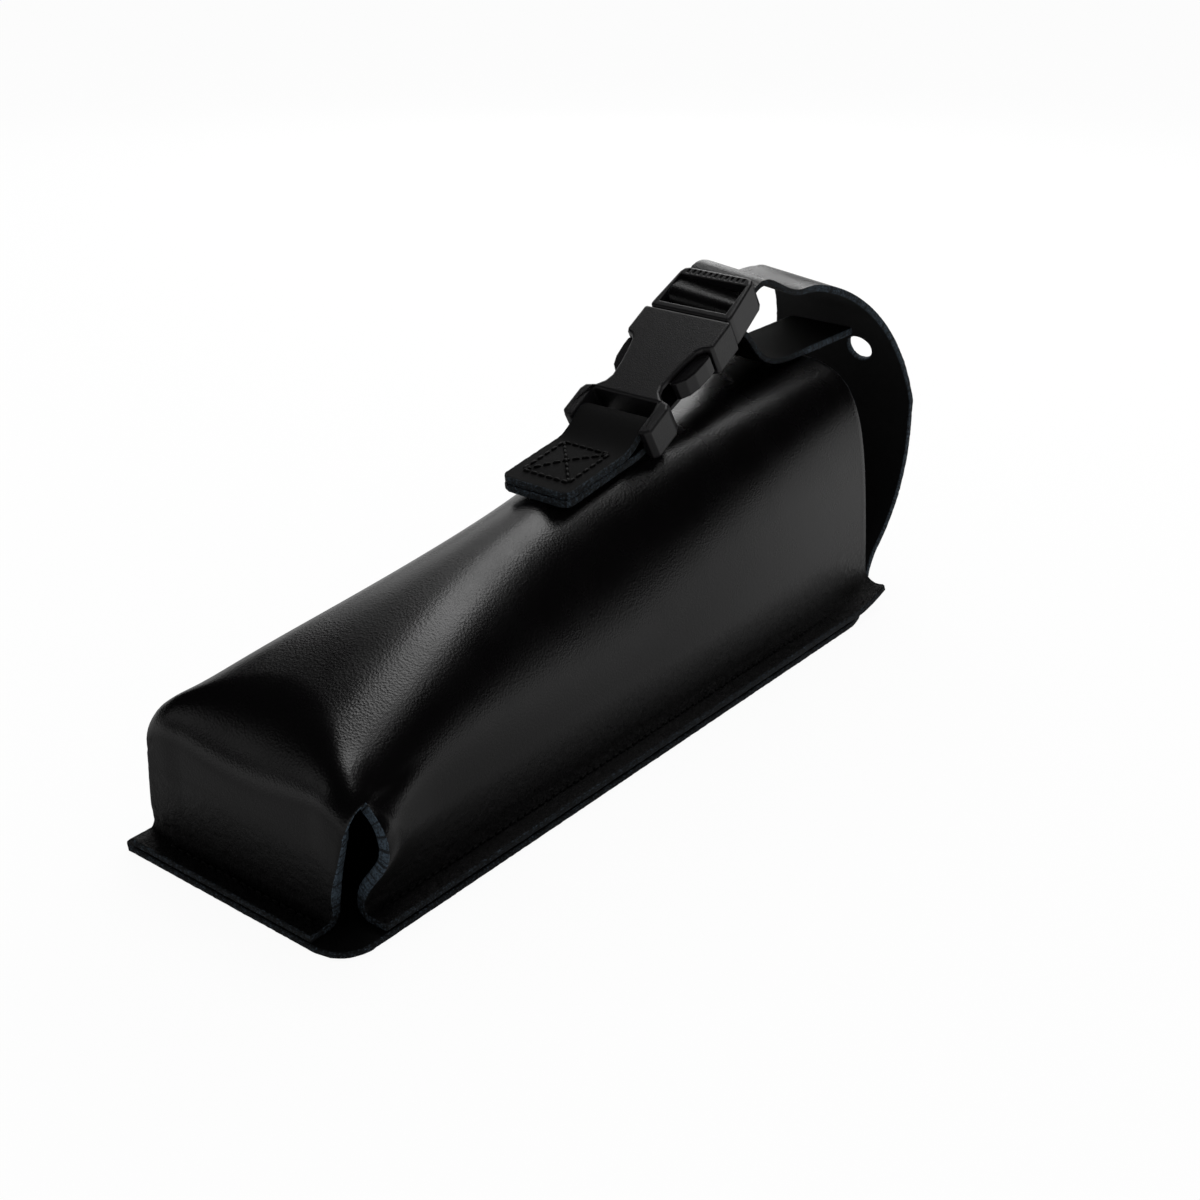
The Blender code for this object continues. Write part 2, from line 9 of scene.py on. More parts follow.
import bpy
import numpy as np
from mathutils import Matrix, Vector


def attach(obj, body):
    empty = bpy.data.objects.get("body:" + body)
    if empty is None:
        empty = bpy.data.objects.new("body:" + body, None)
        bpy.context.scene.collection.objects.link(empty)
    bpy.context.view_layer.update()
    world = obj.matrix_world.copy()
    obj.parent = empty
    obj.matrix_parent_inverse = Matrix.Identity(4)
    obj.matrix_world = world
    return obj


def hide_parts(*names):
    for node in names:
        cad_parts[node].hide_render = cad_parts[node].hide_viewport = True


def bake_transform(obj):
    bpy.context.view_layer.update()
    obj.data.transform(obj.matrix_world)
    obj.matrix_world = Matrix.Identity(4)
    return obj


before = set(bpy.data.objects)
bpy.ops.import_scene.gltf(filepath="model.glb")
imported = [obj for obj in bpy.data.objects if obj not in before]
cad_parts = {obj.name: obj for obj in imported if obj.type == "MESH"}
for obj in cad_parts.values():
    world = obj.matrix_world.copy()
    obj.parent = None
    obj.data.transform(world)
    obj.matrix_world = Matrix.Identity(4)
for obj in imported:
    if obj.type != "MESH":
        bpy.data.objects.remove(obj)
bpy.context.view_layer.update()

# ---- sizes, as in the CAD part -----------------------------------------------------------
GAP = 0.3
LEATHER = 2.4
BASE_HALF = 43.0
BASE_CORNER = 10.0
BASE_LEFT_CORNER = 2.0
SHOULDER_Y = 241.0
WALL_HALF = 34.2
END_WIDEN = 8.6
END_WIDEN_RUN = 32.5
LEAN_HEIGHT = 19.0
FLANGE_FILLET = 3.6
MOUTH_FILLET = 3.2
MOUTH_FILLET_RUN = 70.0
END_FLANGE_RIGHT = 31.5
END_FLANGE_LEFT = 39.0
SLIT_Y = 15.0
SLIT_TOP = 38.0
SLIT_BULGE = 3.6
SLIT_BULGE_RUN = 15.0
END_WALL_Y = 9.0
END_TOP_ROUND = 11.0
TOP_Y = 8.0
TOP_HEIGHT = 49.0
TOP_RISE = 0.2628
TOP_SAG = 0.000391
MOUTH_LOW_Y = 265.0
MOUTH_TOP_Y = 254.0
SHAPE_Y = (8.0, 60.0, 136.0, 200.0, 255.0)
WIDTH_POWER = (2.41, 2.25, 1.94, 2.93, 3.83)
CROWN_POWER = (4.99, 3.59, 2.24, 3.81, 5.10)
BAR_Y = 165.0
BAR_LIFT = 6.2
MID_BAR_V = 53.5
RIB_BAR_V = 61.0
FRAME_END_V = 64.6
RIB_BAR_UNDER = 2.4
AROUND_BAR = 3.6
HINGE_Z = LEATHER / 2
LOW_RADIUS = 53.5
RISE = 11.3
HIGH_RADIUS = 48.3
CREST_Z = 113.4
FLAP_HALF = 30.0
WAIST_END = 39.0
TAPER_START = 95.0
STRAP_HALF = 12.5
HOLE_RADIUS = 5.25
HOLE_X = 10.0
HOLE_S = 112.5
TAIL_END_Y = 284.0
TAIL_LIFT = 0.6
TAB_SPLIT = 13.0
TAB_SEWN = 26.5
TAB_CORNER = 2.5

# ---- sizes only the look has ---------------------------------------------------------------
END_SOFT_RUN = 17.0            # extra rounding in the middle of the closed end's upper edge
END_SOFT_DROP = 15.0
LEFT_BULGE = 1.2               # the left slit's wall bulges less than the right one's
STRAP_START = 162.0            # where the taper has reached the strap's width
FLAP_ROLL = 0.13               # the crest leans: its left side is higher
SLIT_EDGE_EXTRA = 0.9          # the leather looks thicker along the slits
RIM_THINNER = 0.5              # and thinner where two plies are sewn together
STITCH_PITCH = 3.1
STITCH_X = 37.6                # seam line, from the middle of the bag
THREAD = 0.46                  # thread radius
THREAD_SHOWN = 0.86            # share of the pitch that a stitch covers
BOX_HALF = 8.8                 # the sewn box on the tab
BOX_Y = (130.5, 150.0)
BOX_THREAD_SHOWN = 0.9
PUFF = 0.5                     # how far the tab swells inside the box
PUFF_Y = 140.2                 # the middle of that swelling
PUFF_RUN = 9.7                 # and half its length
END_HALF = 36.0                # half width over which the closed end's rounding grows
FOLD_START = 5.0               # folds at a slit's top begin this far from it
FOLD_RUN = 24.0                # and die away over this
FOLDS = ((0.25, 26.0, 18.0), (-0.3, -4.0, 15.0), (0.3, -40.0, 18.0), (-0.2, -68.0, 14.0))
# each fold: height in millimetres, direction and width in degrees

# ---- light: 1 is the level of plain white ----------------------------------------------------
PLAIN_LEVEL = 0.6              # world on every dull surface
WALL_GLOSS = 0.36              # studio walls as gloss shows them
CEILING_GLOSS = 0.0            # the dark ceiling above them
WALL_TOP = 0.14                # sine of the elevation where the walls end
FLOOR_SEEN = 0.94              # share of paper white that hides the floor's light, not its shadow
# painted shadow: to gloss rays the floor glows dimmer near the closed end of the bag and brighter
# further off, in place of the bag's shadow on it
FLOOR_SHADOW_CENTRE = (-0.03, -0.12, 0.0)    # a place by the closed end, in metres, where the bag's painted shadow on the floor is darkest
FLOOR_SHADOW_GLOSS = 0.16             # the floor there as gloss shows it, dimmed by that painted shadow
FLOOR_FAR_GLOSS = 0.62         # and further away
FLOOR_NEAR = 0.09              # distances from the darkest place, in metres, between
FLOOR_FAR = 0.4                # which the floor's gloss rises
FLOOR_RADIUS = 4.0
LAMP_DISTANCE = 1.1            # metres from the place that every softbox faces
LAMP_AIM = (0.0, 0.0, 0.05)
# each softbox: name, azimuth and elevation in degrees, width and height in metres, radiance
LAMPS = (("softbox_above", -12.0, 64.0, 0.56, 0.34, 4.6),
         ("softbox_right", 45.0, 64.0, 0.3, 0.26, 1.5),
         ("panel_far", -15.0, 28.0, 0.34, 0.34, 4.4),
         ("panel_behind", -37.0, 28.0, 0.3, 0.34, 2.6),
         ("panel_low", -36.0, 12.0, 0.34, 0.3, 1.8),
         ("panel_left", -57.0, 22.0, 0.34, 0.6, 0.9),
         ("panel_high", -49.0, 47.0, 0.3, 0.3, 1.0),
         ("panel_front", -140.0, 20.0, 0.4, 0.36, 0.4))

# ---- camera --------------------------------------------------------------------------------
CAMERA_LENS = 51.0
CAMERA_AT = (304.20, -228.15, 262.68)
CAMERA_TURN = (180.0 - 38.34, 25.35)   # azimuth and elevation of the camera seen from the bag

# ---- worked out from the sizes -----------------------------------------------------------------
TILT = math.radians(30.0)
AXIS = np.array([math.cos(TILT), math.sin(TILT)])
NORMAL = np.array([-math.sin(TILT), math.cos(TILT)])


def top_line(y):
    """Height of the middle of the front panel's leather along the top."""
    run = np.maximum(y - TOP_Y, 0.0)
    return TOP_HEIGHT + TOP_RISE * run - TOP_SAG * run * run - LEATHER / 2


BAR = np.array([BAR_Y, float(top_line(BAR_Y)) + LEATHER / 2 + BAR_LIFT])
MIDDLE = BAR + MID_BAR_V / 2 * AXIS
HINGE = MIDDLE - NORMAL * (MIDDLE[1] - HINGE_Z) / NORMAL[1]
TAIL_Z = float(top_line(MOUTH_TOP_Y)) + LEATHER + TAIL_LIFT
ORIGIN_Y = (HINGE[0] + LOW_RADIUS + LEATHER / 2) / 2


# ---------------------------------------------------------------------------- small tools
def metres(points):
    """Millimetres in the bag's frame to metres in the row frame."""
    return (np.asarray(points, float) - (0.0, ORIGIN_Y, 0.0)) * 0.001


def smoothstep(value):
    """3 v^2 - 2 v^3, with v held between 0 and 1."""
    value = np.clip(value, 0.0, 1.0)
    return value * value * (3.0 - 2.0 * value)


def unit(vectors):
    """Each vector divided by its length."""
    return vectors / np.maximum(np.linalg.norm(vectors, axis=-1, keepdims=True), 1e-12)


def arc(centre, radius, start, end, count):
    """Points on a circle between two angles in degrees."""
    angles = np.radians(np.linspace(start, end, count))
    return np.stack([centre[0] + radius * np.cos(angles), centre[1] + radius * np.sin(angles)], 1)


def path_length(path):
    """Distance along the path at each of its points."""
    return np.concatenate([[0.0], np.cumsum(np.linalg.norm(np.diff(path, axis=0), axis=1))])


def resample(path, spacing):
    """The same path in even steps close to the spacing."""
    s = path_length(path)
    even = np.linspace(0.0, s[-1], int(round(s[-1] / spacing)) + 1)
    return np.column_stack([np.interp(even, s, path[:, k]) for k in range(path.shape[1])])


def smooth_path(path, times):
    """Averages each inner point with its neighbours, which rounds off the joins between arcs."""
    path = path.copy()
    for _ in range(times):
        path[1:-1] = (path[:-2] + 2.0 * path[1:-1] + path[2:]) / 4.0
    return path


def linear(hexcode):
    """sRGB hex to the linear colour that shaders take."""
    c = np.array([int(hexcode[i:i + 2], 16) for i in (0, 2, 4)]) / 255.0
    c = np.where(c <= 0.04045, c / 12.92, ((c + 0.055) / 1.055) ** 2.4)
    return (*c.tolist(), 1.0)


def make_mesh(name, points, faces, finishes, index=None):
    """A smooth mesh object from points in metres; index gives each face's material."""
    mesh = bpy.data.meshes.new(name)
    mesh.from_pydata(points.tolist(), [], faces if isinstance(faces, list) else faces.tolist())
    for finish in finishes:
        mesh.materials.append(finish)
    if index is not None:
        mesh.polygons.foreach_set("material_index", np.asarray(index, np.int32))
    mesh.polygons.foreach_set("use_smooth", np.ones(len(mesh.polygons), bool))
    mesh.update()
    made = bpy.data.objects.new(name, mesh)
    bpy.context.scene.collection.objects.link(made)
    return made


def boundary_loops(quads):
    """Closed loops of vertex numbers round a set of quads, each with its face on the left."""
    edges = np.concatenate([quads[:, [i, (i + 1) % 4]] for i in range(4)])
    known = set(map(tuple, edges.tolist()))
    follow = {a: b for a, b in known if (b, a) not in known}
    loops = []
    while follow:
        first, here = follow.popitem()
        loop = [first]
        while here != first:
            loop.append(here)
            here = follow.pop(here)
        loops.append(np.array(loop))
    return loops


def leather(name, mid, finishes, mask=None, thick=LEATHER, raw=1.0, edge=0.45, steps=6, seed=1):
    """Leather from its mid-surface grid: outer and inner skins at mid +- n t/2 and a raw edge.

    The edge is mid + n t/2 sin(f)^0.6 + o e cos(f)^0.6 for f from +90 to -90 degrees, where o
    points out of the sheet; a little noise on it leaves the cut fibrous.  Attribute "raw" says how
    much pale fibre shows on the edge, "run" how far along the edge a point is, in millimetres.
    """
    mid = np.asarray(mid, float)
    mask = np.ones(mid.shape[:2], bool) if mask is None else mask
    half = np.broadcast_to(thick, mid.shape[:2])[mask][:, None] / 2
    bare = np.broadcast_to(raw, mid.shape[:2])[mask]
    ids = np.full(mid.shape[:2], -1)
    ids[mask] = np.arange(mask.sum())
    whole = mask[:-1, :-1] & mask[:-1, 1:] & mask[1:, 1:] & mask[1:, :-1]
    r, c = np.nonzero(whole)
    quads = np.stack([ids[r, c], ids[r, c + 1], ids[r + 1, c + 1], ids[r + 1, c]], 1)
    base = mid[mask]
    facing = np.cross(base[quads[:, 2]] - base[quads[:, 0]], base[quads[:, 3]] - base[quads[:, 1]])
    normal = np.zeros_like(base)
    for k in range(4):
        np.add.at(normal, quads[:, k], facing)
    normal = unit(normal)
    count = len(base)
    points = [base + normal * half, base - normal * half]
    faces = [quads, quads[:, ::-1] + count]
    index = [np.zeros(len(quads)), np.ones(len(quads))]
    total = 2 * count
    run = np.zeros(2 * count)
    bare_all, run_all = [bare, bare], [run]
    rng = np.random.default_rng(seed)
    for loop in boundary_loops(quads):
        along = unit(base[np.roll(loop, -1)] - base[np.roll(loop, 1)])
        out = unit(np.cross(along, normal[loop]))
        far = path_length(base[loop])
        run[loop] = run[loop + count] = far
        rings = [loop]
        for k in range(1, steps):
            f = math.pi / 2 - math.pi * k / steps
            height = math.sin(f)
            up = math.copysign(abs(height) ** 0.6, height) if abs(height) > 1e-9 else 0.0
            fray = rng.normal(0.0, 0.05, (len(loop), 1))
            points.append(base[loop] + normal[loop] * up * half[loop]
                          + out * (edge * math.cos(f) ** 0.6 + fray))
            bare_all.append(bare[loop])
            run_all.append(far)
            rings.append(total + np.arange(len(loop)))
            total += len(loop)
        rings.append(loop + count)
        for high, low in zip(rings[:-1], rings[1:]):
            faces.append(np.stack([np.roll(high, -1), high, low, np.roll(low, -1)], 1))
            index.append(np.full(len(loop), 2))
    made = make_mesh(name, metres(np.concatenate(points)), np.concatenate(faces), finishes,
                     np.concatenate(index))
    for key, values in (("raw", bare_all), ("run", run_all)):
        layer = made.data.attributes.new(key, "FLOAT", "POINT")
        layer.data.foreach_set("value", np.concatenate(values).astype(np.float32))
    return made


def strip(path, halves, across):
    """Grid of a strip along a (y, z) path, its columns from -half to +half."""
    u = np.linspace(-1.0, 1.0, across)
    halves = np.broadcast_to(halves, len(path))
    grid = np.zeros((len(path), across, 3))
    grid[..., 0] = halves[:, None] * u
    grid[..., 1:] = path[:, None, :]
    return grid


def rounded_end(distance, radius):
    """How far a strip's side is drawn in at a distance from its rounded end."""
    d = np.clip(distance, 0.0, radius)
    return radius - np.sqrt(np.maximum(radius ** 2 - (radius - d) ** 2, 0.0))


# ---------------------------------------------------------------------------- materials
def add(tree, kind, inputs=(), **settings):
    """Adds one node.  Settings are its properties; inputs maps its sockets to plain values, to
    outputs, or to nodes, whose first output is then linked."""
    node = tree.nodes.new(kind)
    for key, value in settings.items():
        setattr(node, key, value)
    for key, value in dict(inputs).items():
        if isinstance(value, bpy.types.Node):
            value = value.outputs[0]
        if isinstance(value, bpy.types.NodeSocket):
            tree.links.new(value, node.inputs[key])
        else:
            node.inputs[key].default_value = value
    return node


def begin(name, colour, roughness, ior):
    """A material with one Principled shader, its uniform values, and the Object coordinates."""
    finish = bpy.data.materials.new(name)
    finish.use_nodes = True
    tree = finish.node_tree
    main = tree.nodes["Principled BSDF"]
    main.inputs["Base Color"].default_value = linear(colour)
    main.inputs["Roughness"].default_value = roughness
    main.inputs["IOR"].default_value = ior
    return finish, tree, main, add(tree, "ShaderNodeTexCoord").outputs["Object"]


def grain_leather():
    """Drum-dyed cowhide with a polished pigment finish: pebbled grain about 0.7 mm across that
    breaks the soft highlights up, and fine creases where it is drawn down to the seam."""
    finish, tree, main, place = begin("grain_leather", "060506", 0.27, 1.45)
    height = add(tree, "ShaderNodeSeparateXYZ", {0: place}).outputs["Z"]
    low = add(tree, "ShaderNodeMapRange", {"Value": height, "From Min": 0.004, "From Max": 0.026,
                                           "To Min": 1.0, "To Max": 0.0})
    wrinkle = add(tree, "ShaderNodeTexNoise", {"Vector": place, "Scale": 1000 / 2.8, "Detail": 5.0,
                                               "Roughness": 0.7})
    crease = add(tree, "ShaderNodeMath", {0: wrinkle, 1: low}, operation="MULTIPLY")
    drawn = add(tree, "ShaderNodeBump", {"Height": crease, "Distance": 0.0019})
    pebble = add(tree, "ShaderNodeTexVoronoi", {"Vector": place, "Scale": 1000 / 0.7})
    grain = add(tree, "ShaderNodeBump", {"Height": pebble, "Distance": 0.00004, "Normal": drawn})
    pore = add(tree, "ShaderNodeTexNoise", {"Vector": place, "Scale": 1000 / 0.35, "Detail": 3.0,
                                            "Roughness": 0.6})
    fine = add(tree, "ShaderNodeBump", {"Height": pore, "Distance": 0.00002, "Normal": grain})
    tree.links.new(fine.outputs[0], main.inputs["Normal"])
    handled = add(tree, "ShaderNodeTexNoise", {"Vector": place, "Scale": 1000 / 14, "Detail": 3.0})
    worn = add(tree, "ShaderNodeMapRange", {"Value": handled, "From Min": 0.3, "From Max": 0.7,
                                            "To Min": 0.24, "To Max": 0.3})
    dull = add(tree, "ShaderNodeMath", {0: low, 1: 0.2, 2: worn}, operation="MULTIPLY_ADD")
    tree.links.new(dull.outputs[0], main.inputs["Roughness"])
    return finish


def flesh_leather():
    """The inner, split side of the hide: napped, so it is dull from every side."""
    finish, tree, main, place = begin("flesh_leather", "040405", 0.9, 1.4)
    nap = add(tree, "ShaderNodeTexNoise", {"Vector": place, "Scale": 1000 / 0.5, "Detail": 4.0,
                                           "Roughness": 0.7})
    bump = add(tree, "ShaderNodeBump", {"Height": nap, "Distance": 0.0001})
    tree.links.new(bump.outputs[0], main.inputs["Normal"])
    return finish


def cut_edge():
    """Knife-cut edge, dyed blue-black and not burnished: loose pale fibres speckle it, and a dark
    nick crosses it every few millimetres."""
    finish, tree, main, place = begin("cut_edge", "2c343c", 0.8, 1.4)
    bare = add(tree, "ShaderNodeAttribute", attribute_name="raw").outputs["Fac"]
    along = add(tree, "ShaderNodeAttribute", attribute_name="run").outputs["Fac"]
    fibre = add(tree, "ShaderNodeTexNoise", {"Vector": place, "Scale": 1000 / 0.55, "Detail": 5.0,
                                             "Roughness": 0.75})
    nick = add(tree, "ShaderNodeTexNoise", {"W": along, "Scale": 0.85, "Detail": 1.0},
               noise_dimensions="1D")
    dark = add(tree, "ShaderNodeMapRange", {"Value": nick, "From Min": 0.34, "From Max": 0.44,
                                            "To Min": 0.15, "To Max": 1.0})
    fuller = add(tree, "ShaderNodeMath", {0: bare, 1: 0.14, 2: fibre}, operation="MULTIPLY_ADD")
    pale = add(tree, "ShaderNodeMapRange", {"Value": fuller, "From Min": 0.53, "From Max": 0.7})
    shown = add(tree, "ShaderNodeMath", {0: pale, 1: dark}, operation="MULTIPLY")
    mixed = add(tree, "ShaderNodeMix", {0: shown, 6: linear("06090c"), 7: linear("3c4a56")},
                data_type="RGBA")
    tree.links.new(mixed.outputs[2], main.inputs["Base Color"])
    rough = add(tree, "ShaderNodeBump", {"Height": fibre, "Distance": 0.0003})
    tree.links.new(rough.outputs[0], main.inputs["Normal"])
    return finish


def thread_nylon():
    """Bonded nylon sewing thread, dyed black: a soft glint along each stitch."""
    finish, tree, main, place = begin("thread_nylon", "020202", 0.6, 1.53)
    twist = add(tree, "ShaderNodeTexNoise", {"Vector": place, "Scale": 1000 / 0.3})
    bump = add(tree, "ShaderNodeBump", {"Height": twist, "Distance": 0.00003})
    tree.links.new(bump.outputs[0], main.inputs["Normal"])
    main.inputs["Specular IOR Level"].default_value = 0.25
    return finish


def moulded_acetal(name, colour, roughness, texture):
    """Injection-moulded acetal with a spark-eroded texture that spreads the light; Bevel rounds
    its edges by half a millimetre so that they catch it."""
    finish, tree, main, place = begin(name, colour, roughness, 1.48)
    rounded = add(tree, "ShaderNodeBevel", {"Radius": 0.0006}, samples=6)
    spark = add(tree, "ShaderNodeTexNoise", {"Vector": place, "Scale": 1000 / 0.42, "Detail": 3.0,
                                             "Roughness": 0.6})
    bump = add(tree, "ShaderNodeBump", {"Height": spark, "Distance": texture * 0.001,
                                        "Normal": rounded})
    tree.links.new(bump.outputs[0], main.inputs["Normal"])
    return finish


GRAIN, FLESH, EDGE = grain_leather(), flesh_leather(), cut_edge()
HIDE = [GRAIN, FLESH, EDGE]
THREAD_FINISH = thread_nylon()


# ---------------------------------------------------------------------------- front panel
def flange_lift(y):
    """How far the flange follows the curl up beyond the hinge line."""
    run = np.clip(y - HINGE[0], 0.0, None)
    return LOW_RADIUS - np.sqrt(LOW_RADIUS ** 2 - run ** 2)


FLANGE_STEPS, FILLET_STEPS, ARCH_STEPS = 12, 8, 92


def shape(values, y):
    """The smooth curve through the five values at SHAPE_Y."""
    return float(np.polyval(np.polyfit(SHAPE_Y, values, len(SHAPE_Y) - 1), y))


def half_section(y):
    """Mid-surface across the bag at y: flat flange, quarter round, then the arch
    x = a cos(p)^(2/n), z = z0 + (h - z0) sin(p)^(2/m) in even steps along it, with the walls
    leaning out to a wider a near the closed end."""
    widen = END_WIDEN * math.exp(-max(y - TOP_Y, 0.0) / END_WIDEN_RUN)
    low = LEATHER * 1.5 + GAP + float(flange_lift(y))
    fillet = FLANGE_FILLET + MOUTH_FILLET * float(
        smoothstep((y - MOUTH_LOW_Y + MOUTH_FILLET_RUN) / MOUTH_FILLET_RUN))
    foot = WALL_HALF + fillet
    flange = np.column_stack([np.linspace(BASE_HALF, foot, FLANGE_STEPS + 1),
                              np.full(FLANGE_STEPS + 1, low)])
    bend = arc((foot, low + fillet), fillet, -90.0, -180.0, FILLET_STEPS + 1)[1:]
    p = np.linspace(0.0, math.pi / 2, 900)
    dense = np.column_stack([
        (WALL_HALF + widen) * np.cos(p) ** (2 / shape(WIDTH_POWER, y)),
        low + fillet + (top_line(y) - low - fillet) * np.sin(p) ** (2 / shape(CROWN_POWER, y))])
    dense[:, 0] -= widen * (1.0 - smoothstep((dense[:, 1] - low - fillet) / LEAN_HEIGHT))
    even = np.linspace(0.0, path_length(dense)[-1], ARCH_STEPS + 1)[1:]
    arch = np.column_stack([np.interp(even, path_length(dense), dense[:, k]) for k in (0, 1)])
    arch[-1] = (0.0, top_line(y))
    return np.concatenate([flange, bend, arch])


SLIT_COLUMN = int(np.argmin(np.abs(half_section(SLIT_Y)[:, 1] - SLIT_TOP)))


SECTION_Y = np.linspace(SLIT_Y, MOUTH_LOW_Y, 1001)
SECTIONS = np.array([half_section(y) for y in SECTION_Y])


def wall_rows(y_flange, y_top, bulge):
    """Half of each row of the shell, side and top at different y, bowed out beside the slit.

    Each point is read between the two nearest sections by linear interpolation along y.
    """
    along = smoothstep(np.linspace(0.0, 1.0, SECTIONS.shape[1]))
    y = y_flange[:, None] + (y_top - y_flange)[:, None] * along
    place = (y - SECTION_Y[0]) / (SECTION_Y[1] - SECTION_Y[0])
    before = np.clip(place.astype(int), 0, len(SECTION_Y) - 2)
    share = (place - before)[..., None]
    column = np.arange(len(along))
    row = SECTIONS[before, column] * (1.0 - share) + SECTIONS[before + 1, column] * share
    x, z = row[..., 0], row[..., 1]
    foot_z = z[:, FLANGE_STEPS, None]
    up = np.clip((z - foot_z) / (z[:, SLIT_COLUMN, None] - foot_z), 0.0, 1.0)
    bow = bulge * np.exp(-((y - SLIT_Y) / SLIT_BULGE_RUN) ** 2) * np.sin(math.pi * up ** 2.3)
    return np.stack([x + bow, y, z], -1)


def end_column(start, share):
    """One column over the closed end: round the upper edge, down the wall, out to the flange.

    share runs from -1 at the left slit to 1 at the right one.
    """
    x, _, z = start
    low = LEATHER * 1.5 + GAP
    turn = arc((0.0, 0.0), 1.0, 90.0, 180.0, 13)[1:]
    upper = np.column_stack([SLIT_Y + (SLIT_Y - END_WALL_Y) * turn[:, 0],
                             z - END_TOP_ROUND + END_TOP_ROUND * turn[:, 1]])
    wall_low = low + FLANGE_FILLET
    wall_z = np.linspace(z - END_TOP_ROUND, wall_low, 19)[1:]
    wall = np.column_stack([np.full(len(wall_z), END_WALL_Y), wall_z])
    foot = arc((END_WALL_Y - FLANGE_FILLET, wall_low), FLANGE_FILLET, 0.0, -90.0, 8)[1:]
    flange = np.column_stack([np.linspace(END_WALL_Y - FLANGE_FILLET, 0.0, 8)[1:], np.full(7, low)])
    line = np.concatenate([upper, wall, foot, flange])
    drop = smoothstep((z - line[:, 1]) / (z - wall_low))
    mean, skew = (END_FLANGE_RIGHT + END_FLANGE_LEFT) / 2, (END_FLANGE_RIGHT - END_FLANGE_LEFT) / 2
    foot_x = mean * share + skew * share ** 2
    return np.column_stack([x + (foot_x - x) * drop, line])


def creases(points):
    """How far worked leather stands out: slow waves, puckers at the seam, and folds that fan out
    from the top of each slit, each a Gaussian in the angle round that point."""
    x, y, z = points[..., 0], points[..., 1], points[..., 2]
    wave = 0.15 * np.sin(y / 17.0 + 0.06 * z) * np.sin(x / 19.0 + z / 23.0 + 0.8)
    at_seam = np.exp(-((z - 7.0) / 3.5) ** 2)
    at_end = np.exp(-((z - 6.5) / 3.0) ** 2) * (y < 12.0)
    pucker = 0.16 * np.sin(math.pi * y / STITCH_PITCH + np.sin(y / 9.0)) * at_seam
    end_pucker = 0.25 * np.sin(x * 1.1 + 2.0 * np.sin(x / 5.0)) * at_end
    far = np.hypot(y - SLIT_Y, z - SLIT_TOP)
    angle = np.degrees(np.arctan2(z - SLIT_TOP, y - SLIT_Y))
    fan = sum(high * np.exp(-((angle - middle) / width) ** 2)
              for high, middle, width in FOLDS)
    side = smoothstep((np.abs(x) - 22.0) / 8.0)
    fold = fan * smoothstep(far / FOLD_START) * np.exp(-(far / FOLD_RUN) ** 2) * side
    return wave + pucker + end_pucker + fold


def round_end(grid, first_end_row, middle):
    """Rounds the upper edge of the closed end, hardly at the slits and widely in the middle.

    Each column's points between the top at y1 = wall + a and the wall at z1 - b are spread evenly
    along a quarter ellipse with the half axes a and b, sheared to the slope of the top.
    """
    for j in range(middle.start, middle.stop):
        share = (1.0 - min(abs(grid[first_end_row, j, 0]) / END_HALF, 1.0) ** 2) ** 1.5
        a, b = 5.0 + END_SOFT_RUN * share, END_TOP_ROUND - 3.0 + END_SOFT_DROP * share
        y, z = grid[:, j, 1], grid[:, j, 2]
        back, high = -y[:first_end_row], z[:first_end_row]
        top = float(np.interp(-(END_WALL_Y + a), back, high))
        slope = float(np.interp(-(END_WALL_Y + a + 4.0), back, high) - top) / 4.0
        inside = np.flatnonzero((y < END_WALL_Y + a) & (z > top - b))
        if len(inside) < 4:
            continue
        turn = np.linspace(0.0, math.pi / 2, len(inside) + 2)[1:-1]
        grid[inside, j, 1] = END_WALL_Y + a * (1.0 - np.sin(turn))
        grid[inside, j, 2] = top - b + b * np.cos(turn) - slope * a * np.sin(turn) * np.cos(turn)
    return grid


def front_shell():
    """Grid and mask of the shell: rows from the mouth to the slits, then the closed end's rows,
    which only the columns between the slits have."""
    near_mouth = np.linspace(0.0, 0.1, 14)[:-1]
    middle = np.linspace(0.1, 0.86, 86)[:-1]
    near_slit = np.linspace(0.86, 1.0, 42)
    steps = np.concatenate([near_mouth, middle, near_slit])
    low_y = MOUTH_LOW_Y + (SLIT_Y - MOUTH_LOW_Y) * steps
    top_y = MOUTH_TOP_Y + (SLIT_Y - MOUTH_TOP_Y) * steps
    right, left = (wall_rows(low_y, top_y, bulge) for bulge in (SLIT_BULGE, LEFT_BULGE))
    rows = np.concatenate([right, left[:, -2::-1] * (-1.0, 1.0, 1.0)], 1)
    last = rows[-1]
    middle = slice(SLIT_COLUMN, len(last) - SLIT_COLUMN)
    ends = np.array([end_column(p, p[0] / last[SLIT_COLUMN][0]) for p in last[middle]])
    end_rows = np.zeros((ends.shape[1], len(last), 3))
    end_rows[:, middle] = ends.transpose(1, 0, 2)
    grid = np.concatenate([rows, end_rows])
    mask = np.ones(grid.shape[:2], bool)
    mask[len(rows):] = False
    mask[len(rows):, middle] = True
    grid = round_end(grid, len(rows), middle)
    across = unit(np.gradient(grid, axis=1))
    along = unit(np.gradient(grid, axis=0))
    out = unit(np.cross(along, across))
    swell = creases(grid) * (mask & np.roll(mask, 1, 0) & np.roll(mask, -1, 0))
    free = smoothstep((grid[..., 2] - 4.5) / 4.0)
    return grid + out * (swell * free)[..., None], mask


def slit_nearness(grid):
    """1 on the cut edges of the slits, 0 on the flanges and away from them."""
    x, y, z = grid[..., 0], grid[..., 1], grid[..., 2]
    side = smoothstep((np.abs(x) - 24.0) / 8.0)
    return np.exp(-(np.maximum(y - SLIT_Y, 0.0) / 5.0) ** 2) * smoothstep((z - 5.0) / 8.0) * side


# ---------------------------------------------------------------------------- back and flap
def flap_half(s):
    """Half width along the curl: drawn in to the waist, then straight down to the strap."""
    start = SHOULDER_Y - HINGE[0]
    drawn_in = BASE_HALF + (FLAP_HALF - BASE_HALF) * smoothstep((s - start) / (WAIST_END - start))
    taper = np.clip((s - TAPER_START) / (STRAP_START - TAPER_START), 0.0, 1.0)
    return drawn_in + (STRAP_HALF - FLAP_HALF) * taper


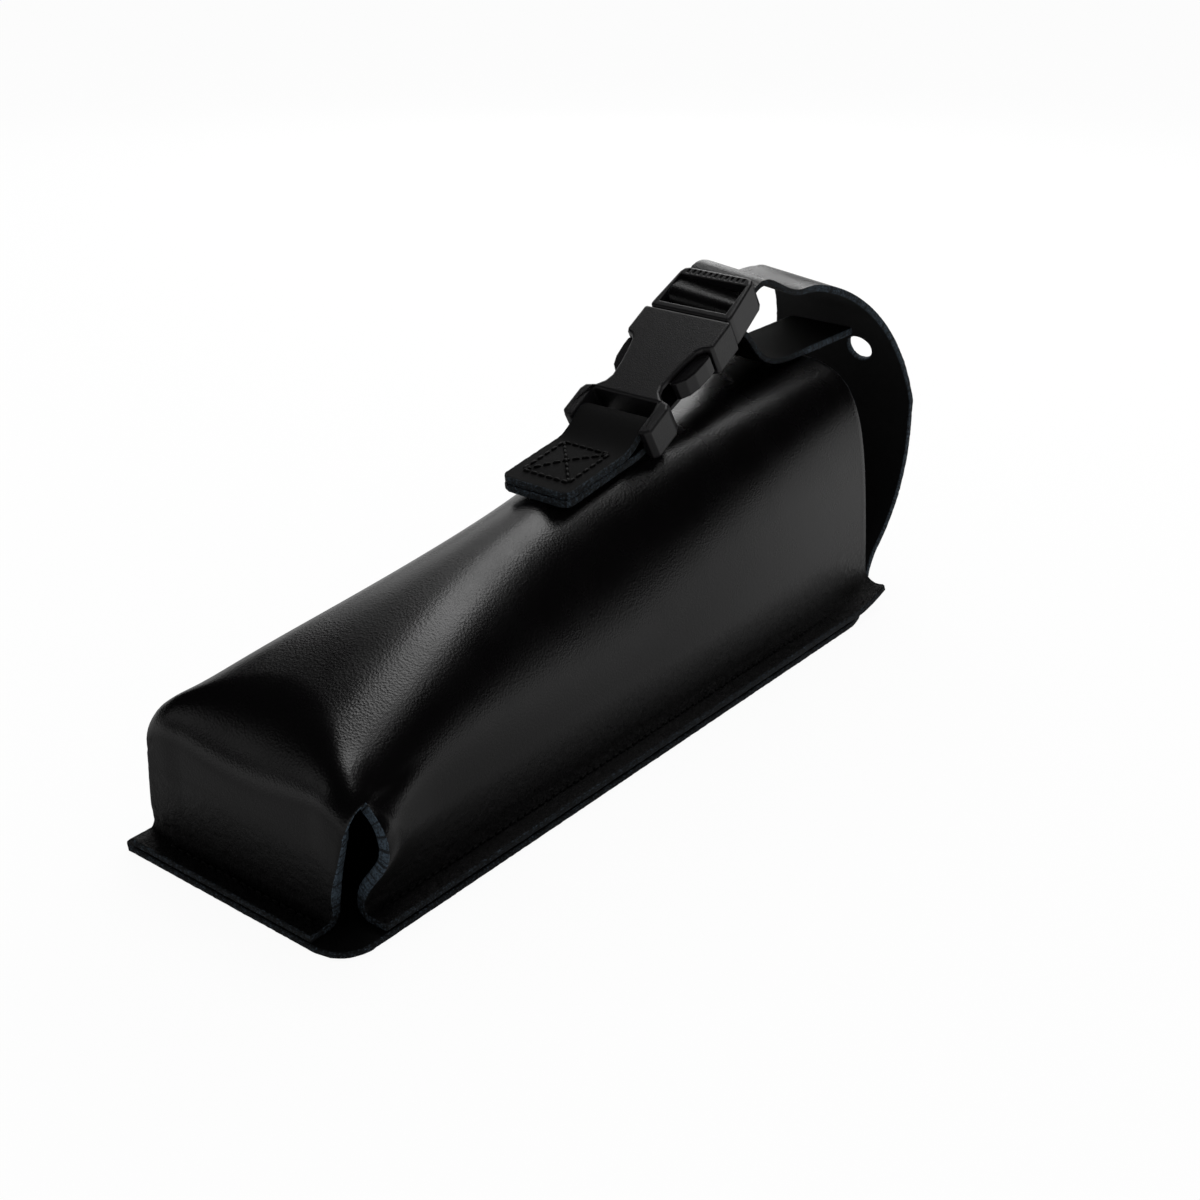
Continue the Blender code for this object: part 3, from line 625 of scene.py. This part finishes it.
def bezier(p0, p1, p2, p3, count):
    """Cubic curve from p0 to p3, pulled towards p1 and p2."""
    t = np.linspace(0.0, 1.0, count)[:, None]
    return (1 - t) ** 3 * p0 + 3 * t * (1 - t) ** 2 * p1 + 3 * t * t * (1 - t) * p2 + t ** 3 * p3


def on_buckle(v, n):
    """The (y, z) point v along the tilted buckle from its lower bar and n above that line."""
    return BAR + v * AXIS + n * NORMAL


def flap_path():
    """Lower quarter round, rise, upper quarter round, under the ribbed end bar, over and round
    the middle bar, and back level above the mouth as the strap's loose end."""
    side = HINGE[0] + LOW_RADIUS
    high_z = HINGE_Z + LOW_RADIUS + RISE
    low = arc((HINGE[0], HINGE_Z + LOW_RADIUS), LOW_RADIUS, -90.0, 0.0, 90)
    high = arc((0.0, 0.0), 1.0, 0.0, 90.0, 90) * (HIGH_RADIUS, CREST_Z - high_z)
    high = high + (side - HIGH_RADIUS, high_z)
    under_n = RIB_BAR_UNDER - GAP - LEATHER / 2
    under = on_buckle(FRAME_END_V + 0.6, under_n)
    reach = (high[-1][0] - under[0]) / 3
    run = bezier(high[-1], high[-1] - (1.3 * reach, 0.0), under + AXIS * reach, under, 40)[1:]
    over = [on_buckle(RIB_BAR_V - 0.4, under_n)]
    over += [on_buckle(MID_BAR_V + v, n) for v, n in arc((0.0, 0.0), AROUND_BAR, 58.0, 215.0, 30)]
    heading = unit(over[-1] - over[-2])
    level = np.array([over[-1][0] + 34.0, TAIL_Z])
    down = bezier(over[-1], over[-1] + heading * 17.0, level - (23.0, -0.6), level, 50)[1:]
    tail = np.column_stack([np.linspace(level[0], TAIL_END_Y, 30)[1:], np.full(29, TAIL_Z)])
    return np.concatenate([low, high, run, over, down, tail])


def back_and_flap():
    """The back panel runs on into the curl, the strap and its loose end: x = u half(s), with two
    round holes whose rims are moved onto the circle."""
    flat = np.column_stack([np.linspace(0.0, HINGE[0], 200), np.full(200, HINGE_Z)])
    path = np.concatenate([flat[:-1], flap_path()])
    path = smooth_path(resample(path, 1.0), 4)
    s = path_length(path) - HINGE[0]
    halves = np.where(s < SHOULDER_Y - HINGE[0], BASE_HALF, flap_half(s))
    halves -= rounded_end(s[-1] - s, 1.2)
    grid = strip(path, halves, 65)[:, ::-1]
    roll = FLAP_ROLL * smoothstep((s - 100.0) / 45.0) * smoothstep((s[-1] - 68.0 - s) / 30.0)
    grid[..., 2] += ((halves[:, None] - grid[..., 0]) * 0.8 - halves[:, None] * 0.2) * roll[:, None]
    corner = np.where(grid[..., 0] > 0.0, rounded_end(s + HINGE[0], BASE_CORNER)[:, None],
                      rounded_end(s + HINGE[0], BASE_LEFT_CORNER)[:, None])
    grid[..., 0] -= corner * grid[..., 0] / BASE_HALF
    mask = np.ones(grid.shape[:2], bool)
    for side in (-1.0, 1.0):
        dx = grid[..., 0] - side * HOLE_X
        ds = np.broadcast_to((s - HOLE_S)[:, None], dx.shape)
        far = np.hypot(dx, ds)
        hole = far < HOLE_RADIUS - 0.45
        beside = sum(np.roll(hole, (i, j), (0, 1)) for i in (-1, 0, 1) for j in (-1, 0, 1)) > 0
        rim = beside & ~hole
        mask &= ~hole
        scale = np.where(rim, HOLE_RADIUS / np.maximum(far, 0.1), 1.0)
        grid[..., 0] = np.where(rim, side * HOLE_X + dx * scale, grid[..., 0])
        for k in (0, 1):
            new, old = (np.interp(HOLE_S + ds * share, s, path[:, k]) for share in (scale, 1.0))
            grid[..., k + 1] += np.where(rim, new - old, 0.0)
    return grid, mask


def tab_path():
    """Under the bar, round it, then steeply down in a curve that lies flat on the lower ply."""
    def bed(y, ply):
        """Height of the middle of a ply that lies on the front panel."""
        return float(top_line(y)) + LEATHER / 2 + (ply - 0.5) * LEATHER + ply * GAP * 0.4

    split = BAR_Y - TAB_SPLIT
    lower = [(y, bed(y, 1)) for y in np.linspace(split - TAB_SEWN, BAR_Y - 6.0, 24)]
    loop = arc(BAR, AROUND_BAR, -90.0, 128.0, 30)
    heading = unit(loop[-1] - loop[-2])
    flat = np.array([split, bed(split, 2)])
    drop = bezier(loop[-1], loop[-1] + heading * 4.5, flat + (4.5, 0.9), flat, 24)[1:]
    upper = [(y, bed(y, 2)) for y in np.linspace(split, split - TAB_SEWN, 18)[1:]]
    return np.concatenate([lower, loop, drop, upper])


def puff(x, y):
    """How far the stitches make the tab's upper ply swell: 1 - u^2 across times 1 - v^2 along."""
    u, v = x / BOX_HALF, (y - PUFF_Y) / PUFF_RUN
    return PUFF * np.clip(1.0 - u ** 2, 0.0, 1.0) * np.clip(1.0 - v ** 2, 0.0, 1.0)


# ---------------------------------------------------------------------------- stitches
def stitches(name, places, along, up, length):
    """One curved capsule of thread for each place: its ends dive into the leather."""
    places, along, up = (np.asarray(v, float) for v in (places, along, up))
    side = np.cross(up, along)
    t = np.linspace(-1.0, 1.0, 9)
    round_off = np.sqrt(np.clip(1.0 - np.abs(t) ** 6, 0.02, 1.0))
    angle = np.linspace(0.0, 2 * math.pi, 9)[:-1]
    u = (t * length / 2)[:, None] + 0.0 * angle
    rise = 0.28 - 0.75 * t[:, None] ** 4 + THREAD * round_off[:, None] * np.sin(angle)
    wide = THREAD * round_off[:, None] * np.cos(angle)
    template = np.stack([u, wide, rise], -1).reshape(-1, 3)
    basis = np.stack([along, side, up], 1)
    points = places[:, None, :] + np.einsum("pk,nkj->npj", template, basis)
    ring, steps = len(angle), len(t)
    i, j = np.meshgrid(np.arange(steps - 1), np.arange(ring), indexing="ij")
    i, j = i.ravel(), j.ravel()
    quads = np.stack([i * ring + j, i * ring + (j + 1) % ring, (i + 1) * ring + (j + 1) % ring,
                      (i + 1) * ring + j], 1)
    shift = (np.arange(len(places)) * ring * steps)[:, None, None]
    faces = (quads[None] + shift).reshape(-1, 4).tolist()
    caps = np.stack([np.arange(ring)[::-1], np.arange(ring) + (steps - 1) * ring])
    faces += (caps[None] + shift).reshape(-1, ring).tolist()
    return make_mesh(name, metres(points.reshape(-1, 3)), faces, [THREAD_FINISH])


def line_stitches(corners, pitch):
    """Stitch places and directions along straight lines through the corner points."""
    places, along = [], []
    for a, b in zip(corners[:-1], corners[1:]):
        a, b = np.asarray(a, float), np.asarray(b, float)
        count = max(int(round(np.linalg.norm(b - a) / pitch)), 1)
        places.append(a + (b - a) * (np.arange(count)[:, None] + 0.5) / count)
        along.append(np.tile((b - a) / np.linalg.norm(b - a), (count, 1)))
    return np.concatenate(places), np.concatenate(along)


def seam_stitches():
    """Three straight seams on the flange: right, left and across the closed end."""
    z = LEATHER * 2 + GAP
    seams = {"thread_right": [(STITCH_X, SLIT_Y + 4.0, z), (STITCH_X, 248.0, z)],
             "thread_left": [(-STITCH_X, SLIT_Y + 4.0, z), (-STITCH_X, 248.0, z)],
             "thread_end": [(-28.0, 4.2, z), (28.0, 4.2, z)]}
    for name, line in seams.items():
        places, along = line_stitches(line, STITCH_PITCH)
        up = np.broadcast_to((0.0, 0.0, 1.0), places.shape)
        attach(stitches(name, places, along, up, STITCH_PITCH * THREAD_SHOWN), "bag")


def box_stitches():
    """A sewn rectangle with both diagonals through the two plies of the tab."""
    x, (y0, y1) = BOX_HALF, BOX_Y
    square = [(-x, y0), (x, y0), (x, y1), (-x, y1), (-x, y0)]
    lines = [square, [(-x, y0), (x, y1)], [(x, y0), (-x, y1)]]
    places, along = [], []
    for line in lines:
        flat = [(p[0], p[1], float(top_line(p[1])) + LEATHER * 2.5 + GAP) for p in line]
        p, a = line_stitches(flat, STITCH_PITCH)
        places.append(p)
        along.append(a)
    places, along = np.concatenate(places), np.concatenate(along)
    places[:, 2] += puff(places[:, 0], places[:, 1])
    slope = unit(np.array([0.0, -0.2, 1.0]))
    up = unit(slope - along * (along @ slope)[:, None])
    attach(stitches("thread_box", places, along, up, STITCH_PITCH * BOX_THREAD_SHOWN), "bag")


# ---------------------------------------------------------------------------- the pieces
def build():
    """Dresses the frame: three leathers, four threads and the buckle's finishes."""
    grid, mask = front_shell()
    cut = slit_nearness(grid)
    rim = smoothstep((6.0 - grid[..., 2]) / 2.0) * smoothstep(1.0 - grid[..., 1] / 270.0)
    thick = LEATHER + SLIT_EDGE_EXTRA * cut - RIM_THINNER * rim
    shell = leather("leather_front", grid, HIDE, mask, thick, 0.12 + 0.88 * cut)
    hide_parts("front_panel")
    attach(shell, "bag")

    grid, mask = back_and_flap()
    loose = smoothstep((grid[..., 1] - 240.0) / 20.0)
    thick = LEATHER - RIM_THINNER * (1.0 - loose)
    back = leather("leather_back", grid, HIDE, mask, thick, 0.12 + 0.5 * loose, seed=2)
    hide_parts("back_panel", "flap")
    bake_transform(back)

    path = smooth_path(resample(tab_path(), 0.8), 4)
    s = path_length(path)
    halves = STRAP_HALF - rounded_end(np.minimum(s, s[-1] - s), TAB_CORNER)
    sheet = strip(path, halves, 25)
    upper = s > s[-1] - TAB_SEWN - 3.0
    sheet[..., 2] += puff(sheet[..., 0], sheet[..., 1]) * upper[:, None]
    tab = leather("leather_tab", sheet, HIDE, raw=0.3, seed=4)
    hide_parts("buckle_tab")
    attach(tab, "bag")

    seam_stitches()
    box_stitches()
    for node, colour, roughness, texture in (
            ("female_body", "111012", 0.36, 0.09), ("male_frame", "100f11", 0.34, 0.04),
            ("prong_left", "0c0b0d", 0.26, 0.01), ("prong_right", "0c0b0d", 0.26, 0.01)):
        finish = moulded_acetal(node + "_acetal", colour, roughness, texture)
        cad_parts[node].data.materials.clear()
        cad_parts[node].data.materials.append(finish)


# ---------------------------------------------------------------------------- studio
def toward(azimuth, elevation):
    """Unit vector at an azimuth from +Y towards +X and an elevation, in degrees."""
    azimuth, elevation = math.radians(azimuth), math.radians(elevation)
    return Vector((math.sin(azimuth) * math.cos(elevation), math.cos(azimuth) * math.cos(elevation),
                   math.sin(elevation)))


def lamp(name, azimuth, elevation, width, height, radiance):
    """A softbox facing the bag: power = pi x area x radiance, and 1 is the grey of plain white."""
    light = bpy.data.lights.new(name, "AREA")
    light.shape = "RECTANGLE"
    light.size, light.size_y = width, height
    light.energy = math.pi * width * height * radiance
    made = bpy.data.objects.new(name, light)
    away = toward(azimuth, elevation)
    made.location = Vector(LAMP_AIM) + away * LAMP_DISTANCE
    made.rotation_mode = "QUATERNION"
    made.rotation_quaternion = away.to_track_quat("Z", "Y")
    bpy.context.scene.collection.objects.link(made)
    return made


def studio_world(world):
    """White to the camera and through see-through things; to gloss, pale walls that end in a dark
    ceiling; to the rest a plain grey."""
    world.use_nodes = True
    tree = world.node_tree
    tree.nodes.clear()
    rays = add(tree, "ShaderNodeLightPath").outputs
    direction = add(tree, "ShaderNodeTexCoord").outputs["Generated"]
    height = add(tree, "ShaderNodeSeparateXYZ", {0: direction}).outputs["Z"]
    wall = add(tree, "ShaderNodeMapRange", {"Value": height, "From Min": WALL_TOP - 0.2,
                                            "From Max": WALL_TOP, "To Min": WALL_GLOSS,
                                            "To Max": CEILING_GLOSS})
    gloss = add(tree, "ShaderNodeMath", {0: wall, 1: rays["Is Glossy Ray"]}, operation="MULTIPLY")
    plain = add(tree, "ShaderNodeMath", {0: rays["Is Diffuse Ray"], 1: PLAIN_LEVEL},
                operation="MULTIPLY")
    seen = add(tree, "ShaderNodeMath", {0: rays["Is Camera Ray"], 1: rays["Is Transmission Ray"]},
               operation="MAXIMUM")
    level = add(tree, "ShaderNodeMath", {0: gloss, 1: plain}, operation="MAXIMUM")
    level = add(tree, "ShaderNodeMath", {0: level, 1: seen}, operation="MAXIMUM")
    shade = add(tree, "ShaderNodeBackground", {"Color": (1.0, 1.0, 1.0, 1.0), "Strength": level})
    add(tree, "ShaderNodeOutputWorld", {"Surface": shade})
    world.cycles.sampling_method = "NONE"


def floor_finish():
    """Matt white table: its shadow shows, and camera, gloss and see-through rays get paper white;
    to gloss it glows dimmer near the bag, a painted shadow of the bag, and brighter away from it."""
    finish = bpy.data.materials.new("white_paper_floor")
    finish.use_nodes = True
    tree = finish.node_tree
    tree.nodes.clear()
    rays = add(tree, "ShaderNodeLightPath").outputs
    place = add(tree, "ShaderNodeTexCoord").outputs["Object"]
    away = add(tree, "ShaderNodeVectorMath", {0: place, 1: FLOOR_SHADOW_CENTRE},
               operation="DISTANCE").outputs["Value"]
    # painted shadow: the floor's gloss level rises with the distance from the bag
    shade = add(tree, "ShaderNodeMapRange", {"Value": away, "From Min": FLOOR_NEAR,
                                             "From Max": FLOOR_FAR, "To Min": FLOOR_SHADOW_GLOSS,
                                             "To Max": FLOOR_FAR_GLOSS})
    seen = add(tree, "ShaderNodeMath", {0: rays["Is Camera Ray"], 1: rays["Is Transmission Ray"]},
               operation="MAXIMUM")
    gloss = add(tree, "ShaderNodeMath", {0: shade, 1: rays["Is Glossy Ray"]}, operation="MULTIPLY")
    level = add(tree, "ShaderNodeMath", {0: seen, 1: gloss}, operation="MAXIMUM")
    share = add(tree, "ShaderNodeMath", {0: seen, 1: rays["Is Glossy Ray"]}, operation="MAXIMUM")
    share = add(tree, "ShaderNodeMath", {0: share, 1: FLOOR_SEEN}, operation="MULTIPLY")
    paper = add(tree, "ShaderNodeBsdfDiffuse", {"Color": linear("f4f4f4")})
    white = add(tree, "ShaderNodeEmission", {"Color": (1.0, 1.0, 1.0, 1.0), "Strength": level})
    glow = add(tree, "ShaderNodeMixShader", {0: share, 1: paper, 2: white})
    add(tree, "ShaderNodeOutputMaterial", {"Surface": glow})
    return finish


def studio():
    """White room: a round floor, softboxes, and the camera at the photograph's angle."""
    scene = bpy.context.scene
    scene.view_settings.view_transform = "Standard"
    world = bpy.data.worlds.new("studio")
    scene.world = world
    studio_world(world)

    around = np.radians(np.linspace(0.0, 360.0, 97)[:-1])
    ring = np.column_stack([np.sin(-around), np.cos(around), 0.0 * around])
    disc = make_mesh("floor", ring * FLOOR_RADIUS - (0.0, 0.0, 0.0003), [list(range(len(ring)))],
                     [floor_finish()])

    for box in LAMPS:
        lamp(*box)

    camera = bpy.data.cameras.new("camera")
    camera.lens = CAMERA_LENS
    camera.sensor_width = 36.0
    camera.clip_start, camera.clip_end = 0.01, 20.0
    shot = bpy.data.objects.new("camera", camera)
    shot.location = metres(CAMERA_AT).tolist()
    shot.rotation_mode = "QUATERNION"
    shot.rotation_quaternion = (-toward(*CAMERA_TURN)).to_track_quat("-Z", "Y")
    scene.collection.objects.link(shot)
    scene.camera = shot


build()
studio()
